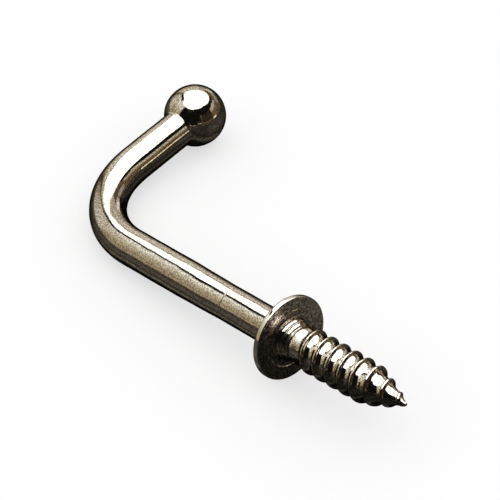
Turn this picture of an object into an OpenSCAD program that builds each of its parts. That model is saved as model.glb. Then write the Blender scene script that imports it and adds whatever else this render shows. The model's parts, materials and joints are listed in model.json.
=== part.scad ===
// Screw hook: a plated rod bent to an L, with a ball on its free end, a round
// flange that stops against the wall, and a wood-screw thread with a gimlet point.
//
// The hook is drawn in its own axes: the wall face of the flange is centred on the
// origin, the screw points along +X, the arm with the ball turns towards +Y, and +Z
// is square to the flat L. It is then tipped to lie on its side as the real one does
// on a table, on the flange's rim, the outside of the bend and the ball.
// All sizes are millimetres.

/* [Rod and bend] */
// Diameter of the rod along the bend and the arm
rod_d = 4.5; // [3.5:0.1:7]
// Straight run, from the flange's wall face to where the bend begins
shank_len = 27; // [20:0.5:60]
// Radius of the bend, to the middle of the rod
bend_r = 12; // [7:0.5:25]
// Angle that the arm is bent through, in degrees
bend_angle = 84.5; // [70:0.5:100]
// Straight arm, from the end of the bend to the middle of the ball
arm_len = 10.8; // [6:0.2:30]

/* [Ball end] */
// Diameter of the ball
ball_d = 7.6; // [7.2:0.1:12]
// Radius of the small fillet where the arm runs into the ball
ball_neck_r = 0.5; // [0.2:0.05:0.8]

/* [Shank by the flange] */
// Diameter of the shank where it meets the flange
shank_d = 4.25; // [3.6:0.05:5]
// Length of the thinner part, behind the wall face
thin_len = 10.5; // [6:0.5:12]
// Length over which the rod swells from that to its full diameter
swell_len = 7; // [3:0.5:8]

/* [Flange] */
// Diameter of the flange
flange_d = 10; // [8.5:0.1:16]
// Thickness of the flange
flange_t = 0.95; // [0.8:0.05:2.5]
// Rounding of the rim on the hook's side
flange_back_r = 0.45; // [0.2:0.05:0.5]
// Rounding of the rim on the wall's side
flange_wall_r = 0.15; // [0.05:0.05:0.2]

/* [Neck between flange and thread] */
// Diameter of the neck's foot at the wall face
neck_foot_d = 5.2; // [5.1:0.05:6]
// Radius of the fillet between the wall face and that foot
neck_fillet_r = 0.15; // [0.1:0.05:0.2]
// Where the tapering foot ends in a small step, from the wall face
step_at = 0.35; // [0.3:0.05:0.5]
// Depth of that step
step_depth = 0.15; // [0.08:0.01:0.18]
// Width of that step
step_w = 0.06; // [0.04:0.01:0.1]
// Diameter of the neck past the step
neck_d = 4.6; // [4.5:0.05:4.7]
// Diameter of the neck at its end
neck_end_d = 4.4; // [4.3:0.05:4.45]
// Length of the neck, from the wall face
neck_len = 1.05; // [0.9:0.05:1.6]

/* [Thread] */
// Outer diameter of the thread by the flange
thread_d = 5.05; // [4.6:0.05:6]
// Outer diameter of the thread where the point begins
thread_end_d = 4.9; // [4.5:0.05:6]
// Diameter of the core between the ridges
root_d = 4; // [3.4:0.05:4.2]
// Advance of the right-hand thread in one turn
pitch = 1.9; // [1.75:0.05:2.6]
// Length of the screw, from the wall face to the tip
screw_len = 18.1; // [13:0.1:40]
// Length of the tapered point
point_len = 5.5; // [3:0.1:8]
// Diameter of the point's blunt end
tip_d = 0.36; // [0.2:0.02:0.6]
// Flat width of the ridge's crest
crest_w = 0.2; // [0.1:0.02:0.3]
// Width of each steep flank, along the screw
flank_w = 0.12; // [0.06:0.02:0.16]
// Width of the gentler slope from each flank down to the core
foot_w = 0.5; // [0.3:0.02:0.56]
// Where the ridge starts to rise out of the core, from the wall face
ridge_start = 2.1; // [1.8:0.1:4]
// Length over which it rises to its full height
ridge_rise = 1.3; // [0.5:0.1:3]
// Turns the ridge round the screw, in degrees
thread_turn = 287; // [0:1:359]

/* [Hidden] */

plated = [0.70, 0.66, 0.61];
$fn = 96;

// centre of the bend, start and direction of the arm, and middle of the ball
bend_at = [-shank_len, bend_r, 0];
arm_at = bend_at - bend_r * [sin(bend_angle), cos(bend_angle), 0];
arm_dir = [-cos(bend_angle), sin(bend_angle), 0];
ball_at = arm_at + arm_len * arm_dir;

// Rest on a table. For a given up direction, these are the lowest points of the three
// places that touch.
function unit(v) = v / norm(v);
function under_ball(up) = ball_at - ball_d / 2 * up;
function under_bend(up) =
    bend_at - bend_r * unit([up[0], up[1], 0]) - rod_d / 2 * up;
function under_flange(up) =
    [flange_back_r - flange_t, 0, 0]
    - (flange_d / 2 - flange_back_r) * unit([0, up[1], up[2]])
    - flange_back_r * up;

// The plane through these points gives a truer up direction, and doing that a few
// times over settles the hook.
settle_steps = 12;
first_up = [0.1, 0.1, 1];
function plane_up(a, b, c) = unit(cross(c - a, b - a));
function settle(up, left) =
    left == 0 ? up
    : settle(plane_up(under_flange(up), under_bend(up), under_ball(up)), left - 1);
up = settle(unit(first_up), settle_steps);
roll = atan2(up[1], up[2]);
tilt = -asin(up[0]);

// Section of one turn of the thread, from the foot of its ridge to the next one's:
// each entry is a place along the screw and a share of the ridge's height.
foot_rise = 0.5;
ridge_w = crest_w + 2 * flank_w + 2 * foot_w;
section = [
    [0, 0],
    [(pitch - ridge_w) / 2, 0],
    [(pitch - ridge_w) / 2 + foot_w, foot_rise],
    [(pitch - crest_w) / 2, 1],
    [(pitch + crest_w) / 2, 1],
    [(pitch + ridge_w) / 2 - foot_w, foot_rise],
    [(pitch + ridge_w) / 2, 0]
];
cols = len(section);

// That section is wound round the screw, one row at each step of a turn. The first
// turn is hidden in the flange and the shank, where it narrows.
turn_steps = 36;
hidden_len = pitch + flange_t / 2;
narrowing = 0.5;
rows = ceil((screw_len + hidden_len - pitch) / pitch * turn_steps);
wound_from = screw_len - tip_d / 2 - pitch * (rows / turn_steps + 1);

// How full the core and the ridge stay along the point: 1 is a straight cone
core_fullness = 0.8;
crest_fullness = 0.72;

function share(v) = max(0, min(1, v));
function on_point(x) = share((screw_len - x) / point_len);
function core_r(x) =
    x < 0 ? root_d / 2 * (1 + narrowing * x / hidden_len)
    : max(tip_d / 2, root_d / 2 * pow(on_point(x), core_fullness));
function crest_r(x) =
    let (along = share(x / (screw_len - point_len)))
    (thread_d + (thread_end_d - thread_d) * along) / 2 * pow(on_point(x), crest_fullness);
function ridge_h(x) =
    max(0, crest_r(x) - core_r(x)) * share((x - ridge_start) / ridge_rise);

function wound(row, col) =
    let (
        x0 = wound_from + pitch * row / turn_steps,
        x = x0 + section[col][0],
        a = thread_turn + 360 * x0 / pitch,
        r = core_r(x) + section[col][1] * ridge_h(x0 + pitch / 2)
    )
    [x, r * cos(a), r * sin(a)];

// Number of a wound point. Past the last column comes the next turn's first, and past
// the last row there is only that one edge.
function at(row, col) =
    col == cols ? at(row + turn_steps, 0)
    : row > rows ? rows * cols + cols - 1 + row - rows
    : row * cols + col;

module screw_thread() {
    strip = [for (row = [0 : rows]) for (col = [0 : cols - 1]) wound(row, col)];
    last_edge = [for (row = [rows + 1 : rows + turn_steps]) wound(row, 0)];
    ends = [[wound_from + pitch / 2, 0, 0], [screw_len, 0, 0]];
    inner = len(strip) + len(last_edge);
    tip = inner + 1;
    polyhedron(
        points = concat(strip, last_edge, ends),
        faces = [
            for (row = [0 : rows - 1]) for (col = [0 : cols - 1]) each [
                [at(row, col), at(row, col + 1), at(row + 1, col + 1)],
                [at(row, col), at(row + 1, col + 1), at(row + 1, col)]
            ],
            for (row = [0 : turn_steps - 1]) each [
                [inner, at(row, 0), at(row + 1, 0)],
                [tip, at(rows + row + 1, 0), at(rows + row, 0)]
            ],
            for (col = [0 : cols - 1]) each [
                [inner, at(0, col + 1), at(0, col)],
                [tip, at(rows, col), at(rows, col + 1)]
            ]
        ],
        convexity = 10
    );
}

// Profiles of what is turned about the screw's axis. X is the radius and Y the place
// along the screw.
module flange_profile() {
    difference() {
        translate([0, -flange_t]) square([flange_d / 2, flange_t]);
        translate([flange_d / 2, -flange_t]) rim_corner(flange_back_r, 1);
        translate([flange_d / 2, 0]) rim_corner(flange_wall_r, -1);
    }
}

// what a rounding takes off a corner of the rim
module rim_corner(r, side) {
    difference() {
        square([2 * r, 2 * r], center = true);
        translate([-r, side * r]) circle(r);
    }
}

module neck_profile() {
    inside = flange_t / 2;
    foot_r = neck_foot_d / 2;
    polygon([
        [0, -inside], [foot_r, -inside], [foot_r, neck_fillet_r],
        [neck_d / 2 + step_depth, step_at], [neck_d / 2, step_at + step_w],
        [neck_end_d / 2, neck_len], [0, neck_len]
    ]);
    difference() {
        translate([0, -inside]) square([foot_r + neck_fillet_r, neck_fillet_r + inside]);
        translate([foot_r + neck_fillet_r, neck_fillet_r]) circle(neck_fillet_r);
    }
}

module flange_and_neck() {
    rotate([0, 90, 0]) rotate_extrude() {
        flange_profile();
        neck_profile();
    }
}

// The bend is a ring cut off square at both ends. The shank and the arm each turn half
// the bend away from its middle, so that both meet it in exactly one circle.
module rod() {
    reach = bend_r + rod_d;
    half = bend_angle / 2;
    translate(bend_at) mirror([1, 0, 0]) rotate([0, 0, -90]) rotate([0, 0, half]) {
        difference() {
            rotate([0, 0, half]) rotate_extrude() translate([bend_r, 0]) circle(d = rod_d);
            rotate([0, 0, half]) translate([-reach, 0, -rod_d])
                cube([2 * reach, reach, 2 * rod_d]);
            rotate([0, 0, -half]) translate([-reach, -reach, -rod_d])
                cube([2 * reach, reach, 2 * rod_d]);
        }
        rotate([0, 0, half]) translate([bend_r, 0, 0]) rotate([-90, 0, 0]) arm();
        rotate([0, 0, -half]) translate([bend_r, 0, 0]) rotate([90, 0, 0]) shank();
    }
}

// from the bend to the inside of the flange
module shank() {
    full_len = shank_len - thin_len - swell_len;
    end = shank_len - flange_t / 2;
    rotate_extrude() polygon([
        [0, 0], [rod_d / 2, 0], [rod_d / 2, full_len],
        [shank_d / 2, full_len + swell_len], [shank_d / 2, end], [0, end]
    ]);
}

module arm() {
    cylinder(d = rod_d, h = arm_len);
    translate([0, 0, arm_len]) {
        sphere(d = ball_d);
        ball_neck();
    }
}

// Fillet between the ball and the arm. It sinks a little into both, so that it crosses
// them instead of just touching them.
module ball_neck() {
    clear = 0.97 * ball_neck_r;
    side = rod_d / 2 + clear;
    out = ball_d / 2 + clear;
    back = sqrt(out * out - side * side);
    inside = 0.8 * ball_d / 2 / out;
    rotate_extrude() difference() {
        polygon([
            [0, -inside * back], [inside * side, -inside * back], [side, -back], [0, -back]
        ]);
        translate([side, -back]) circle(ball_neck_r);
    }
}

module screw_hook() {
    color(plated) rotate([roll, tilt, 0]) {
        rod();
        flange_and_neck();
        screw_thread();
    }
}

screw_hook();
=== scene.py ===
import bpy
import json
import math
import numpy as np
from mathutils import Matrix, Vector


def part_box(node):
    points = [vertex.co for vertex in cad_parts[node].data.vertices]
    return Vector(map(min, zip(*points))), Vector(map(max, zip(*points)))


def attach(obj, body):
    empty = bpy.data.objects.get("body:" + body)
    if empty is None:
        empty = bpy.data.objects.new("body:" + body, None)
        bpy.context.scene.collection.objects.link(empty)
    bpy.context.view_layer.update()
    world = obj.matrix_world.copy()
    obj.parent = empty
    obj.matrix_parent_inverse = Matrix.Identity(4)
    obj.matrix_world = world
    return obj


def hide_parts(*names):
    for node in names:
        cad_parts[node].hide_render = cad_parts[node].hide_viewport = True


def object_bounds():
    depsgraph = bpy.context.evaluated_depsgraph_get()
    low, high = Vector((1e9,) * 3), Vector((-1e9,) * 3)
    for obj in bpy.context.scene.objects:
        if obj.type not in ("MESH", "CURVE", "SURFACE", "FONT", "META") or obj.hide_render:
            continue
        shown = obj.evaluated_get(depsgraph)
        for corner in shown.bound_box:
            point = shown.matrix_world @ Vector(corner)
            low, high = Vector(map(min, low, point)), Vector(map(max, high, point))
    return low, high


# Looks of a plated screw hook that lies on a pale table.
#
# The hook is one piece of metal, so it is one mesh. It is built from rings in the hook's
# own axes: +X along the screw towards its tip, +Y in the flat L towards the ball, and +Z
# square to the L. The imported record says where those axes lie. Sizes are millimetres
# until the mesh is placed.

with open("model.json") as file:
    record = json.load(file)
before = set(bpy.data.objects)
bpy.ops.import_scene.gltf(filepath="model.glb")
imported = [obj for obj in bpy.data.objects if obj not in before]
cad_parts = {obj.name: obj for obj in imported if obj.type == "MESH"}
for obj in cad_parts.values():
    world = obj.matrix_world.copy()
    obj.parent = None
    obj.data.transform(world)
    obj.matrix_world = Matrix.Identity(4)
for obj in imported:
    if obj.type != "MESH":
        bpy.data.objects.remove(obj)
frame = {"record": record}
cad_box = [list(corner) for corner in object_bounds()]

MM = 0.001

# ---------------------------------------------------------------- sizes, as in the CAD
ROD_R = 4.5 / 2
SHANK_LEN = 27.0
BEND_R = 12.0
BEND_ANGLE = math.radians(84.5)
ARM_LEN = 10.8
BALL_R = 7.6 / 2
BALL_NECK_R = 0.5
SHANK_R = 4.25 / 2
THIN_LEN = 10.5
SWELL_LEN = 7.0
FLANGE_R = 10.0 / 2
FLANGE_T = 0.95
FLANGE_BACK_R = 0.45
FLANGE_WALL_R = 0.15
THREAD_R = 5.05 / 2
THREAD_END_R = 4.9 / 2
ROOT_R = 4.0 / 2
PITCH = 1.9
SCREW_LEN = 18.1
POINT_LEN = 5.5
TIP_R = 0.36 / 2
CREST_W = 0.2
RIDGE_START = 2.1
RIDGE_RISE = 1.3
THREAD_TURN = math.radians(287)
CORE_FULLNESS = 0.8
CREST_FULLNESS = 0.72

# ---------------------------------------------------------------- sizes, finer than in the CAD
FLANK_W = 0.16                  # steep flank of the ridge, along the screw
FOOT_W = 0.46                   # gentler slope from the flank down to the core
FOOT_RISE = 0.38                # share of the ridge's height where the two meet
CORNER_SOFT = 0.03              # how far the ridge's corners are rounded
FOOT_SOFT = 0.14                # and its meeting with the core
FLANGE_FILLET_R = 0.22          # between the shank and the flange

# the neck: how far it is from the wall face, and its radius there
NECK = [
    (0.0, 2.6), (0.05, 2.585), (0.2, 2.56), (0.36, 2.535), (0.48, 2.51), (0.55, 2.48),
    (0.64, 2.435), (0.73, 2.39), (0.75, 2.355),                 # foot
    (0.76, 2.3), (0.78, 2.275), (0.86, 2.268), (0.94, 2.28), (0.99, 2.29),      # step
    (1.01, 2.28), (1.1, 2.235), (1.2, 2.185), (1.28, 2.14), (1.305, 2.1),       # second ring
    (1.33, 2.04), (1.37, 2.0), (1.46, 1.985), (1.56, 2.0), (1.63, 2.045), (1.68, 2.085),
]
CORE_FROM = 1.72                # the thread's core starts there, past the neck's groove

# ---------------------------------------------------------------- marks left by the making, and shade painted into the die mark
DIE_MARK_AT = 9.65              # ring that the upsetting die left on the shank
DIE_MARK_DEPTH = 0.008
DIE_MARK_W = 0.06
DIE_MARK_SHADE_SIDE = (22, 64)        # where shade is painted into it, in degrees from +Z towards -Y
DIE_MARK_SHADE_FADE = 8               # degrees over which the painted shade ends
CORE_SWELL = 0.13               # the core is that much thicker by the neck
CORE_SWELL_LEN = 1.5
FACE_BEAD_R = 3.4               # faint turned bead on the flange's wall face
FACE_BEAD_H = 0.06
FACE_BEAD_W = 0.1

# waves that drawing and bending leave in the rod: height and length in millimetres,
# waves round the rod, and phase
WAVES = [(0.005, 8.3, 1, 0.4), (0.004, 4.7, 2, 2.1), (0.002, 3.1, 3, 4.0), (0.001, 2.3, 2, 1.2)]
WAVES_FROM = 2.0                # the flange has none
WAVES_GROW = 3.0

# ---------------------------------------------------------------- plating
WARM = (0.46, 0.39, 0.31)       # dull patches
GREY = (0.50, 0.45, 0.39)
PALE = (0.96, 0.91, 0.83)       # bright grain
EDGE = (0.06, 0.05, 0.045)      # tint of what is seen almost edge on
STAIN = (0.30, 0.22, 0.15)      # on the wall face
DIE_MARK_SHADE = (0.06, 0.05, 0.04)       # painted shade: dark line in the die mark
ROUGH = (0.045, 0.1)            # lowest and highest
RIM_ROUGH = 0.09                # on the flange's rim
FACE_ROUGH = 0.22               # on its wall face

# noises: features a millimetre, detail, and the two values that count as 0 and 1
GRAIN = (6.0, 2, 0.46, 0.54)
PATCHES = (0.6, 3, 0.4, 0.65)
STAINS = (3.5, 3, 0.4, 0.6)

# ripples of the surface: features a millimetre, and height in millimetres
RIPPLES = [(0.5, 0.006), (3.5, 0.0015)]

# ---------------------------------------------------------------- mesh density
COLS = 112                      # points round each ring
BALL_ROWS = 72
BALL_NECK_ROWS = 10
ROD_STEP = 0.35
DIE_MARK_ROWS = 17
DIE_MARK_REACH = 4              # those rows reach that many of its widths to each side
FLANGE_FILLET_ROWS = 6
FLANGE_BACK_ROWS = 7
RIM_BACK_ROWS = 10
RIM_WALL_ROWS = 7
FACE_STEP = 0.05

# rows across half a pitch, from the middle of a valley to the crest: where each stretch
# begins, and its number of rows
RIDGE_STRETCHES = [(0, 8), (0.66, 4), (0.77, 5), (0.89, 2)]

# The wound strip is longer than the screw. What lies past these places, before the low
# one and after the high one, is squeezed into so many millimetres.
STRIP_LOW, STRIP_LOW_ROOM = CORE_FROM + 0.33, 0.34
STRIP_HIGH, STRIP_HIGH_ROOM = SCREW_LEN - 0.3, 0.28
STRIP_PAST_TIP = 1.2


# ---------------------------------------------------------------- the hook's own axes
def own_axes():
    """Matrix from the hook's own axes, in millimetres, to the row frame, in metres."""
    mounts = {m["name"]: m for m in frame["record"]["mounts"]}
    x = Vector(mounts["wall_face"]["axis"]).normalized()
    y = Vector(mounts["hanging_seat"]["axis"])
    z = x.cross(y).normalized()
    y = z.cross(x)
    turn = Matrix((x, y, z)).transposed().to_4x4()
    return Matrix.Translation(mounts["wall_face"]["pos_m"]) @ turn @ Matrix.Scale(MM, 4)


def rod_line(s):
    """Centre and inward direction of the rod, s behind the wall face along its middle."""
    bend_from, bend_len = SHANK_LEN, BEND_R * BEND_ANGLE
    middle = np.array([-SHANK_LEN, BEND_R])
    if s <= bend_from:
        return np.array([-s, 0.0, 0.0]), np.array([0.0, 1.0, 0.0])
    a = min(s - bend_from, bend_len) / BEND_R
    inward = np.array([math.sin(a), math.cos(a)])
    onward = np.array([-math.cos(a), math.sin(a)])
    at = middle - BEND_R * inward + max(0.0, s - bend_from - bend_len) * onward
    return np.array([*at, 0.0]), np.array([*inward, 0.0])


def smooth(v):
    """0 to 1 as v goes from 0 to 1, with soft ends."""
    v = np.clip(v, 0, 1)
    return v * v * (3 - 2 * v)


# ---------------------------------------------------------------- profile: (s, radius)
def arc(centre, radius, start, end, steps):
    """Points on an arc of the profile; angles in degrees from the s axis to the radius."""
    angles = np.radians(np.linspace(start, end, steps))
    return [(centre[0] + radius * math.cos(a), centre[1] + radius * math.sin(a)) for a in angles]


def bump(x, at, width):
    return math.exp(-((x - at) / width) ** 2)


def shank_radius(s):
    share = np.clip((s - THIN_LEN) / SWELL_LEN, 0, 1)
    mark = DIE_MARK_DEPTH * bump(s, DIE_MARK_AT, DIE_MARK_W)
    return SHANK_R + (ROD_R - SHANK_R) * share - mark


def unevenness(s, a):
    """Waves of the rod as a change of radius, s behind the wall face and at angles a."""
    waves = sum(height * np.sin(2 * math.pi * s / length + around * a + phase)
                for height, length, around, phase in WAVES)
    return waves * smooth((s - WAVES_FROM) / WAVES_GROW)


def ball_centre():
    """How far the ball's middle is behind the wall face, along the rod."""
    return SHANK_LEN + BEND_R * BEND_ANGLE + ARM_LEN


def ball_profile():
    """From the ball's far pole to where the arm is straight."""
    side = ROD_R + BALL_NECK_R
    back = math.sqrt((BALL_R + BALL_NECK_R) ** 2 - side ** 2)
    touch = math.degrees(math.atan2(side, -back))
    ball = arc((ball_centre(), 0), BALL_R, 2, touch, BALL_ROWS)
    neck = arc((ball_centre() - back, side), BALL_NECK_R, touch - 180, -90, BALL_NECK_ROWS)
    return ball + neck[1:]


def rod_profile():
    """The ball, the arm, the bend and the shank, with closer rows at the die mark."""
    ball = ball_profile()
    arm_from, shank_to = ball[-1][0] - 0.3, 1.5
    reach = DIE_MARK_REACH * DIE_MARK_W
    at_mark = DIE_MARK_AT + np.linspace(reach, -reach, DIE_MARK_ROWS)
    coarse = np.arange(arm_from, shank_to, -ROD_STEP)
    coarse = coarse[np.abs(coarse - DIE_MARK_AT) > reach + DIE_MARK_W]
    places = np.sort(np.concatenate([coarse, at_mark]))[::-1]
    return ball + [(s, shank_radius(s)) for s in places]


def flange_profile():
    """The flange from its back to its wall face, then the neck."""
    fillet_r, back_r, wall_r = FLANGE_FILLET_R, FLANGE_BACK_R, FLANGE_WALL_R
    back = np.linspace(SHANK_R + fillet_r + 0.2, FLANGE_R - back_r - 0.1, FLANGE_BACK_ROWS)
    face = np.arange(FLANGE_R - wall_r - FACE_STEP, NECK[0][1] + 0.03, -FACE_STEP)
    return [
        *arc((FLANGE_T + fillet_r, SHANK_R + fillet_r), fillet_r, -90, -180, FLANGE_FILLET_ROWS),
        *[(FLANGE_T, r) for r in back],
        *arc((FLANGE_T - back_r, FLANGE_R - back_r), back_r, 0, 90, RIM_BACK_ROWS),
        *arc((wall_r, FLANGE_R - wall_r), wall_r, 90, 180, RIM_WALL_ROWS),
        *[(-FACE_BEAD_H * bump(r, FACE_BEAD_R, FACE_BEAD_W), r) for r in face],
        *[(-x, r) for x, r in NECK],
    ]


# ---------------------------------------------------------------- thread
def on_point(x):
    """1 where the point begins, 0 at its tip."""
    return np.clip((SCREW_LEN - x) / POINT_LEN, 0, 1)


def core_r(x):
    """Radius of the core, with a round tip."""
    swell = CORE_SWELL * (1 - smooth((x - CORE_FROM) / CORE_SWELL_LEN))
    into_tip = np.clip((x - SCREW_LEN) / TIP_R + 1, 0, 1)
    core = np.maximum(TIP_R, ROOT_R * on_point(x) ** CORE_FULLNESS)
    return core * np.sqrt(1 - into_tip ** 2) + swell


def crest_r(x):
    """Radius out to the ridge's crest."""
    share = np.clip(x / (SCREW_LEN - POINT_LEN), 0, 1)
    full = THREAD_R + (THREAD_END_R - THREAD_R) * share
    return full * on_point(x) ** CREST_FULLNESS


def ridge_share(u):
    """Share of the ridge's height, u along the screw from the middle of its crest."""
    crest, flank, foot = CREST_W / 2, CREST_W / 2 + FLANK_W, CREST_W / 2 + FLANK_W + FOOT_W
    places, heights = [0, crest, flank, foot], [1, 1, FOOT_RISE, 0]
    soft = np.interp(np.abs(u), places, [CORNER_SOFT, CORNER_SOFT, CORNER_SOFT, FOOT_SOFT])
    near = [np.interp(np.abs(u + d * soft), places, heights) for d in np.linspace(-1, 1, 9)]
    return np.mean(near, axis=0)


def section_rows():
    """Places of the rows across one pitch, from one valley's middle to the next's."""
    starts, counts = zip(*RIDGE_STRETCHES)
    ends = [*starts[1:], PITCH / 2]
    half = [np.linspace(start, end, count, endpoint=False)
            for start, end, count in zip(starts, ends, counts)]
    half = np.concatenate([*half, [PITCH / 2]])
    return np.concatenate([half, PITCH - half[-2:0:-1]])


def squeezed(x):
    """The strip's ends squeezed into the room that the screw has for them."""
    under, over = np.maximum(STRIP_LOW - x, 0), np.maximum(x - STRIP_HIGH, 0)
    below = STRIP_LOW - STRIP_LOW_ROOM * under / (under + STRIP_LOW_ROOM)
    above = STRIP_HIGH + STRIP_HIGH_ROOM * over / (over + STRIP_HIGH_ROOM)
    return np.where(x < STRIP_LOW, below, np.where(x > STRIP_HIGH, above, x))


def thread_points(first_x, turns):
    """Rows of the strip that is wound round the screw, and the points of its last edge.

    The strip goes once round while it moves on by one pitch, so each turn's rows meet
    the next turn's. It is as wide as one pitch, with the ridge in its middle.
    """
    offsets = section_rows()
    per_turn = len(offsets)
    lines = per_turn * turns + 1
    line = np.arange(lines + per_turn)
    share = np.arange(COLS) / COLS
    turn_x = first_x + PITCH * (line // per_turn)[:, None] + PITCH * share[None, :]
    offset = offsets[line % per_turn][:, None]
    x = squeezed(turn_x + offset)
    crest_x = turn_x + PITCH / 2
    on_screw = np.minimum(crest_x, SCREW_LEN)
    height = np.maximum(0, crest_r(on_screw) - core_r(on_screw))
    rise = smooth((crest_x - RIDGE_START) / RIDGE_RISE)
    r = core_r(x) + ridge_share(offset - PITCH / 2) * height * rise
    a = 2 * math.pi * share[None, :]
    points = np.stack([x, r * np.cos(a), r * np.sin(a)], axis=-1)
    return points[:lines], points[lines:, 0], per_turn


# ---------------------------------------------------------------- mesh
def hook_mesh():
    """Points and faces of the whole hook, from the ball's far pole to the screw's tip."""
    a = 2 * np.pi * np.arange(COLS) / COLS
    rings = []
    for s, r in rod_profile() + flange_profile():
        centre, inward = rod_line(s)
        outward = np.outer(np.cos(a), inward) + np.outer(np.sin(a), [0, 0, 1])
        rings.append(centre + (r + unevenness(s, a))[:, None] * outward)
    rings = np.array(rings)
    n_rings = len(rings)

    first_x = -PITCH * THREAD_TURN / (2 * math.pi)
    turns = math.ceil((SCREW_LEN + STRIP_PAST_TIP - first_x) / PITCH)
    strip, last_edge, per_turn = thread_points(first_x, turns)
    n_lines = len(strip)

    pole = rod_line(ball_centre() + BALL_R)[0]
    tip = np.array([SCREW_LEN, 0, 0])
    points = np.concatenate([
        rings.reshape(-1, 3), strip.reshape(-1, 3), last_edge, [pole, tip]])
    strip_at = n_rings * COLS
    edge_at = strip_at + n_lines * COLS
    pole_at, tip_at = len(points) - 2, len(points) - 1

    def ring(i, j):
        """Point j of ring i."""
        return i * COLS + j % COLS

    def wound(line, j):
        """Point j of a line of the strip; past its last column the next turn begins."""
        if j == COLS:
            line, j = line + per_turn, 0
        if line >= n_lines:
            return edge_at + line - n_lines
        return strip_at + line * COLS + j

    # ball to neck
    faces = [(pole_at, ring(0, j + 1), ring(0, j)) for j in range(COLS)]
    for i in range(n_rings - 1):
        faces += [(ring(i, j), ring(i, j + 1), ring(i + 1, j + 1), ring(i + 1, j))
                  for j in range(COLS)]
    # neck to the strip's first edge, which ends one pitch further on than it began
    last = n_rings - 1
    for j in range(COLS - 1):
        faces.append((ring(last, j), ring(last, j + 1), wound(0, j + 1), wound(0, j)))
    hub = wound(0, COLS - 1)
    faces += [(ring(last, COLS - 1), ring(last, 0), hub), (hub, ring(last, 0), wound(0, 0))]
    faces += [(hub, wound(k, 0), wound(k + 1, 0)) for k in range(per_turn)]
    # the strip
    for k in range(n_lines - 1):
        faces += [(wound(k, j), wound(k, j + 1), wound(k + 1, j + 1), wound(k + 1, j))
                  for j in range(COLS)]
    # its last edge to the tip
    end = n_lines - 1
    hub = wound(end, 1)
    faces += [(wound(end + k, 0), hub, wound(end + k + 1, 0)) for k in range(per_turn)]
    faces += [(wound(end, j), wound(end, j + 1), tip_at) for j in range(1, COLS)]
    faces.append((wound(end, COLS), hub, tip_at))
    return points, faces


def rim_share(points):
    """1 on the flange's rim, 0 elsewhere."""
    x, out = points[:, 0], np.hypot(points[:, 1], points[:, 2])
    from_r, fade, reach = FLANGE_R - 0.3, 0.15, 2
    return smooth((out - from_r) / fade) * (np.abs(x) < reach)


def face_share(points):
    """1 on the flange's wall face, 0 elsewhere."""
    x, out = points[:, 0], np.hypot(points[:, 1], points[:, 2])
    from_x, x_fade, to_x = -0.12, 0.1, 0.1
    from_r, r_fade = NECK[0][1] - 0.04, 0.03
    return smooth((x - from_x) / x_fade) * smooth((out - from_r) / r_fade) * (x < to_x)


def die_mark_shade_share(points):
    """1 in the die mark, on the side where shade is painted into it."""
    x, y, z = points.T
    side = np.degrees(np.arctan2(-y, z))
    low, high = DIE_MARK_SHADE_SIDE
    on_side = smooth((side - low) / DIE_MARK_SHADE_FADE) * smooth((high - side) / DIE_MARK_SHADE_FADE)
    return np.exp(-((x + DIE_MARK_AT) / DIE_MARK_W) ** 2) * on_side


def make_hook():
    points, faces = hook_mesh()
    mesh = bpy.data.meshes.new("screw_hook_metal")
    mesh.from_pydata(points.tolist(), [], faces)
    # the mark share is where shade is painted into the die mark, on one side of the rod
    shares = {"rim": rim_share(points), "face": face_share(points), "mark": die_mark_shade_share(points)}
    for name, amount in shares.items():
        share = mesh.attributes.new(name, "FLOAT", "POINT")
        share.data.foreach_set("value", amount.astype(np.float32))
    mesh.transform(own_axes())
    mesh.update()
    mesh.shade_smooth()
    hook = bpy.data.objects.new("screw_hook_metal", mesh)
    bpy.context.scene.collection.objects.link(hook)
    return hook


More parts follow.
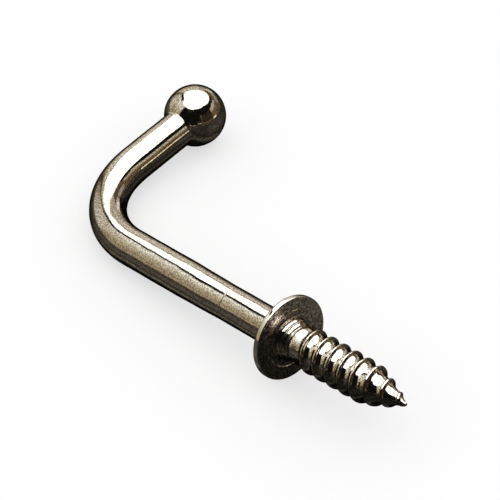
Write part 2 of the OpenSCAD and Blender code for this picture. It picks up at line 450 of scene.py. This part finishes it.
def plated_metal():
    """Bright plating with fine grain, dull patches and ripples, a stained wall face, and painted
    shade in the die mark.
    """
    mat = bpy.data.materials.new("plated_metal")
    mat.use_nodes = True
    nodes, links = mat.node_tree.nodes, mat.node_tree.links
    shader = nodes["Principled BSDF"]
    shader.inputs["Metallic"].default_value = 1
    shader.inputs["Specular Tint"].default_value = (*EDGE, 1)
    place = nodes.new("ShaderNodeTexCoord").outputs["Object"]

    def noise(per_mm, detail, low, high):
        """Noise that is stretched so that low to high is 0 to 1."""
        source = nodes.new("ShaderNodeTexNoise")
        source.inputs["Scale"].default_value = per_mm / MM
        source.inputs["Detail"].default_value = detail
        links.new(place, source.inputs["Vector"])
        spread = nodes.new("ShaderNodeMapRange")
        spread.inputs["From Min"].default_value = low
        spread.inputs["From Max"].default_value = high
        links.new(source.outputs["Fac"], spread.inputs["Value"])
        return spread.outputs["Result"]

    def blended(factor, a, b):
        blend = nodes.new("ShaderNodeMix")
        blend.data_type = "RGBA"
        links.new(factor, blend.inputs["Factor"])
        for socket, value in ((blend.inputs["A"], a), (blend.inputs["B"], b)):
            if isinstance(value, tuple):
                socket.default_value = (*value, 1)
            else:
                links.new(value, socket)
        return blend.outputs["Result"]

    def share(name):
        source = nodes.new("ShaderNodeAttribute")
        source.attribute_name = name
        return source.outputs["Fac"]

    grain, patches = noise(*GRAIN), noise(*PATCHES)
    metal = blended(grain, blended(patches, WARM, GREY), PALE)
    metal = blended(share("rim"), metal, PALE)
    metal = blended(share("face"), metal, blended(noise(*STAINS), STAIN, PALE))
    # painted shade in the die mark, on one side of the rod
    links.new(blended(share("mark"), metal, DIE_MARK_SHADE), shader.inputs["Base Color"])

    gloss = nodes.new("ShaderNodeMapRange")
    gloss.inputs["To Min"].default_value = ROUGH[0]
    gloss.inputs["To Max"].default_value = ROUGH[1]
    links.new(patches, gloss.inputs["Value"])
    rough = gloss.outputs["Result"]
    for name, value in (("rim", RIM_ROUGH), ("face", FACE_ROUGH)):
        blend = nodes.new("ShaderNodeMix")
        blend.inputs["B"].default_value = value
        links.new(share(name), blend.inputs["Factor"])
        links.new(rough, blend.inputs["A"])
        rough = blend.outputs["Result"]
    links.new(rough, shader.inputs["Roughness"])

    normal = None
    for per_mm, height in RIPPLES:
        ripple = nodes.new("ShaderNodeBump")
        ripple.inputs["Strength"].default_value = 1
        ripple.inputs["Distance"].default_value = height * MM
        links.new(noise(per_mm, 1, 0, 1), ripple.inputs["Height"])
        if normal:
            links.new(normal, ripple.inputs["Normal"])
        normal = ripple.outputs["Normal"]
    links.new(normal, shader.inputs["Normal"])
    return mat


# ---------------------------------------------------------------- stage
def emission(name, attribute):
    """Material that glows with the colour of a mesh attribute."""
    mat = bpy.data.materials.new(name)
    mat.use_nodes = True
    nodes, links = mat.node_tree.nodes, mat.node_tree.links
    nodes.remove(nodes["Principled BSDF"])
    glow = nodes.new("ShaderNodeEmission")
    source = nodes.new("ShaderNodeAttribute")
    source.attribute_name = attribute
    links.new(source.outputs["Color"], glow.inputs["Color"])
    links.new(glow.outputs[0], nodes["Material Output"].inputs["Surface"])
    return mat


def stage_mesh(name, points, faces, mat):
    """A mesh that isn't part of the object."""
    mesh = bpy.data.meshes.new(name)
    mesh.from_pydata(points, [], faces)
    mesh.materials.append(mat)
    piece = bpy.data.objects.new(name, mesh)
    bpy.context.scene.collection.objects.link(piece)
    return piece


def only_reflected(piece):
    """Neither the camera nor the floor sees the piece, only the metal does."""
    piece.visible_camera = False
    piece.visible_diffuse = False
    piece.visible_shadow = False


def step(value, edge, width):
    """0 below the edge, 1 above it, softly over width degrees."""
    return smooth((value - edge) / width + 0.5)


def band(value, low, high, width):
    """1 from the low edge to the high one, 0 elsewhere, softly."""
    return step(value, low, width) * (1 - step(value, high, width))


def mix(a, b, share):
    """a where share is 0, b where it is 1."""
    return a + (np.asarray(b) - a) * np.asarray(share)[..., None]


# The metal mirrors a studio of cards, each at its place round the compass and above the
# horizon, in degrees. At 0 on the compass is +Y, at 90 is +X.

# the softbox: its lower edge round the compass, how softly it ends there, and its light
SOFTBOX_AZ = [
    -180, -150, -120, -105, -98, -90, -80, -70, -60, -45, -30,
    -20, -10, 0, 10, 20, 30, 40, 50, 60, 120, 180]
SOFTBOX_EL = [
    58, 54, 52, 51.5, 50.5, 43.5, 36, 32, 33.5, 33.5, 31,
    30.5, 32.5, 36.5, 40, 43, 46, 50.5, 54.5, 58.5, 62, 58]
SOFTBOX_SOFT = 1.5
SOFTBOX = (2.2, 2.2, 2.2)
BLACK = (0.006, 0.006, 0.006)

# a black flag under one side of the softbox: its sides, how softly it ends, its depth
FLAG_AZ = (-112, -80, 4)
FLAG_DEPTH = 8.5

# the wall behind the cards: its light at some heights
WALL_EL = [-4, 0, 12, 30, 40]
WALL = np.array([
    [0.14, 0.10, 0.07], [0.38, 0.31, 0.22], [0.35, 0.29, 0.19], [0.60, 0.56, 0.43],
    [0.92, 0.92, 0.86]])

# cards in front of it, each over the ones before: its sides on the compass, its lower
# and upper edge, how softly it ends, and its light
CARDS = [
    (-112, -84, 0, 36, 8, (0.66, 0.62, 0.53)),      # light wall behind the bend
    (-79.5, -76.5, -30, 60, 1.5, (0.08, 0.06, 0.05)),   # slit beside it
    (-74, -42, 6, 27, 3, (0.84, 0.80, 0.71)),       # pale wall behind the shank
    (-42, -30, 6, 27, 3, (0.55, 0.50, 0.42)),
    (-70, -26, 27.5, 31, 2, (0.50, 0.45, 0.38)),
    (-28, 104, -30, 60, 3, (0.14, 0.095, 0.055)),   # brown wall on the right
    (-33, -21, 3, 15.5, 3, (1.05, 1.0, 0.92)),      # small lamp over the shank
    (-21, 4, 5, 16.5, 3, (0.38, 0.34, 0.28)),
    (4, 60, 15.5, 22, 3, (0.19, 0.14, 0.09)),
    (6, 52, 22, 33.5, 2, (0.52, 0.47, 0.36)),       # pale shelf
    (55, 104, 3, 60, 5, (0.035, 0.024, 0.016)),
    (41, 56, -3.5, 3.5, 2, (1.3, 1.15, 0.78)),      # warm lamp low on the right
    (-4, 20, 28.5, 80, 2, BLACK),                   # flag under the softbox
    (8, 114, 33.5, 80, 2, BLACK),
    (104, 205, -30, 80, 12, BLACK),                 # the camera's side is dark
]

# the dome that carries them, and the steps of its mesh in degrees
DOME_R = 0.4
DOME_AZ_STEP = 1.0
DOME_EL_STEP = 0.5
DOME_FROM_EL = -3

# the dark card on the floor that the hook's underside mirrors: its light by the distance
# from the hook in millimetres, near-black close to it as the hook's painted shadow, with a
# painted light line just beyond
FLOOR_D = [0, 0.9, 1.3, 2.2, 3, 4, 6, 10, 16, 40]
FLOOR_LIGHT = [0.01, 0.01, 0.15, 0.15, 0.045, 0.045, 0.085, 0.085, 0.06, 0.05]
FLOOR_TINT = (1.08, 1.0, 0.82)
FLOOR_CARD_REACH = 75           # where its mesh is fine, in millimetres
FLOOR_CARD_STEP = 0.75
FLOOR_CARD_UP = 0.02            # how far it lies above the floor

# patches of it that are darker or lighter, those by the screw and inside the L with the hook's
# painted shade:
# their sides along X and Y in millimetres, how softly they end, and the share of the light
FLOOR_PATCHES = [
    (-1, 90, -90, 90, 4, 0.5),      # painted shade by the screw
    (4, 90, 3, 90, 4, 1.9),         # beyond it
    (-38, -1, 5, 22, 5, 0.35),      # painted shade inside the L
    (-38, -1, 22, 90, 5, 0.7),
    (5, 900, -900, -3, 6, 0.35),    # towards the camera
    (-900, -60, -70, 50, 25, 2.2),  # far behind the bend
]

# the floor itself, which is nearly white by its own glow and keeps a faint shadow
FLOOR_SIDE = 3.0                # metres from its middle
FLOOR_GREY = 0.4
FLOOR_GLOW = 0.6

# the camera
CAMERA_AT = (0.187272, -0.169228, 0.212782)
CAMERA_TARGET = (-0.013262, 0.006115, 0.001532)
CAMERA_ROLL = math.radians(-2.2117)
CAMERA_LENS = 216
CAMERA_SENSOR = 36


def cards(az, el):
    """Colour of the studio's cards towards a compass angle and a height, in degrees."""
    colour = np.stack([np.interp(el, WALL_EL, WALL[:, k]) for k in range(3)], axis=-1)
    room = 60
    for left, right, bottom, top, soft, light in CARDS:
        turned = (az - left + room) % 360 + left - room
        there = band(turned, left, right, soft) * band(el, bottom, top, soft)
        colour = mix(colour, light, there)
    low = np.interp(az, SOFTBOX_AZ, SOFTBOX_EL)
    flag = step(el, low - FLAG_DEPTH, SOFTBOX_SOFT) * band(az, *FLAG_AZ)
    colour = mix(colour, BLACK, flag)
    return mix(colour, SOFTBOX, step(el, low, SOFTBOX_SOFT))


def lit_mesh(name, points, across, light, mat):
    """A grid of points, so many across, whose light is a colour at each point."""
    rows = len(points) // across
    faces = [(i * across + j, i * across + j + 1, (i + 1) * across + j + 1, (i + 1) * across + j)
             for i in range(rows - 1) for j in range(across - 1)]
    piece = stage_mesh(name, points.tolist(), faces, mat)
    colour = np.ones((len(points), 4), np.float32)
    colour[:, :3] = light
    glow = piece.data.attributes.new("light", "FLOAT_COLOR", "POINT")
    glow.data.foreach_set("color", colour.ravel())
    only_reflected(piece)
    return piece


def make_studio():
    """A dome of cards round the hook that only its reflections show."""
    centre = sum((np.array(c) for c in cad_box)) / 2
    az, el = np.meshgrid(np.arange(-180, 180 + DOME_AZ_STEP, DOME_AZ_STEP),
                         np.arange(DOME_FROM_EL, 90.1, DOME_EL_STEP))
    ra, re = np.radians(az), np.radians(el)
    towards = np.stack([np.cos(re) * np.sin(ra), np.cos(re) * np.cos(ra), np.sin(re)], -1)
    points = (centre + DOME_R * towards).reshape(-1, 3)
    lit_mesh("studio_cards", points, az.shape[1], cards(az, el).reshape(-1, 3),
             emission("cards", attribute="light"))


def hook_path():
    """Points along the hook's middle, and across its flange, in its own axes."""
    gap = 0.6
    rod = [rod_line(s)[0] for s in np.arange(0, ball_centre(), gap)]
    screw = [(x, 0, 0) for x in np.arange(gap, SCREW_LEN - 2, gap)]
    flange = [(-0.5, y, 0) for y in np.linspace(-3, 3, 7)]
    return np.array([*rod, *screw, *flange])


def floor_light(x, y):
    """Light that the floor shows to the hook, at places in metres, with the hook's shadow
    painted in.
    """
    axes = np.array(own_axes())
    path = (hook_path() @ axes[:3, :3].T + axes[:3, 3])[:, :2]
    spots = np.stack([x.ravel(), y.ravel()], -1)
    away = np.full(len(spots), np.inf)
    for spot in path:
        away = np.minimum(away, np.hypot(*(spots - spot).T))
    # near-black close to the hook as its painted shadow, and a painted light line just beyond
    light = np.interp(away / MM - ROD_R, FLOOR_D, FLOOR_LIGHT)
    along, across = spots.T / MM
    # darker and lighter patches, with the hook's painted shade by the screw and inside the L
    for left, right, near, far, soft, share in FLOOR_PATCHES:
        there = band(along, left, right, soft) * band(across, near, far, soft)
        light *= 1 + (share - 1) * there
    return light[:, None] * np.array(FLOOR_TINT)


def make_floor():
    """The pale floor, and the dark card on it that only the hook's underside mirrors, with the
    hook's shadow painted into the card.
    """
    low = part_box("screw_hook")[0].z
    side = FLOOR_SIDE

    mat = bpy.data.materials.new("floor")
    mat.use_nodes = True
    shader = mat.node_tree.nodes["Principled BSDF"]
    shader.inputs["Base Color"].default_value = (FLOOR_GREY, FLOOR_GREY, FLOOR_GREY, 1)
    shader.inputs["Emission Color"].default_value = (1, 1, 1, 1)
    shader.inputs["Emission Strength"].default_value = FLOOR_GLOW
    shader.inputs["Roughness"].default_value = 1
    shader.inputs["Specular IOR Level"].default_value = 0
    square = [(-side, -side, low), (side, -side, low), (side, side, low), (-side, side, low)]
    stage_mesh("floor", square, [(0, 1, 2, 3)], mat)

    reach = FLOOR_CARD_REACH
    near = np.arange(-reach, reach + 0.1, FLOOR_CARD_STEP) * MM
    far = np.geomspace((reach + 10) * MM, side, 12)
    line = np.concatenate([-far[::-1], near, far])
    x, y = np.meshgrid(line, line)
    card_z = np.full(x.size, low + FLOOR_CARD_UP * MM)
    points = np.stack([x.ravel(), y.ravel(), card_z], -1)
    lit_mesh("floor_card", points, len(line), floor_light(x, y),
             emission("floor_card", attribute="light"))


def make_camera():
    """The camera where the photograph was taken from."""
    at, target = Vector(CAMERA_AT), Vector(CAMERA_TARGET)
    data = bpy.data.cameras.new("camera")
    data.sensor_width = CAMERA_SENSOR
    data.lens = CAMERA_LENS
    camera = bpy.data.objects.new("camera", data)
    turn = (target - at).to_track_quat("-Z", "Y").to_matrix().to_4x4()
    roll = Matrix.Rotation(CAMERA_ROLL, 4, "Z")
    camera.matrix_world = Matrix.Translation(at) @ turn @ roll
    bpy.context.scene.collection.objects.link(camera)
    bpy.context.scene.camera = camera


def make_world():
    """Plain white light from all round."""
    world = bpy.data.worlds.new("world")
    world.use_nodes = True
    world.node_tree.nodes["Background"].inputs["Color"].default_value = (1, 1, 1, 1)
    bpy.context.scene.world = world


hook = make_hook()
hook.data.materials.append(plated_metal())
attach(hook, "root")
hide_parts("screw_hook")
make_floor()
make_studio()
make_camera()
make_world()
bpy.context.scene.view_settings.view_transform = "Standard"
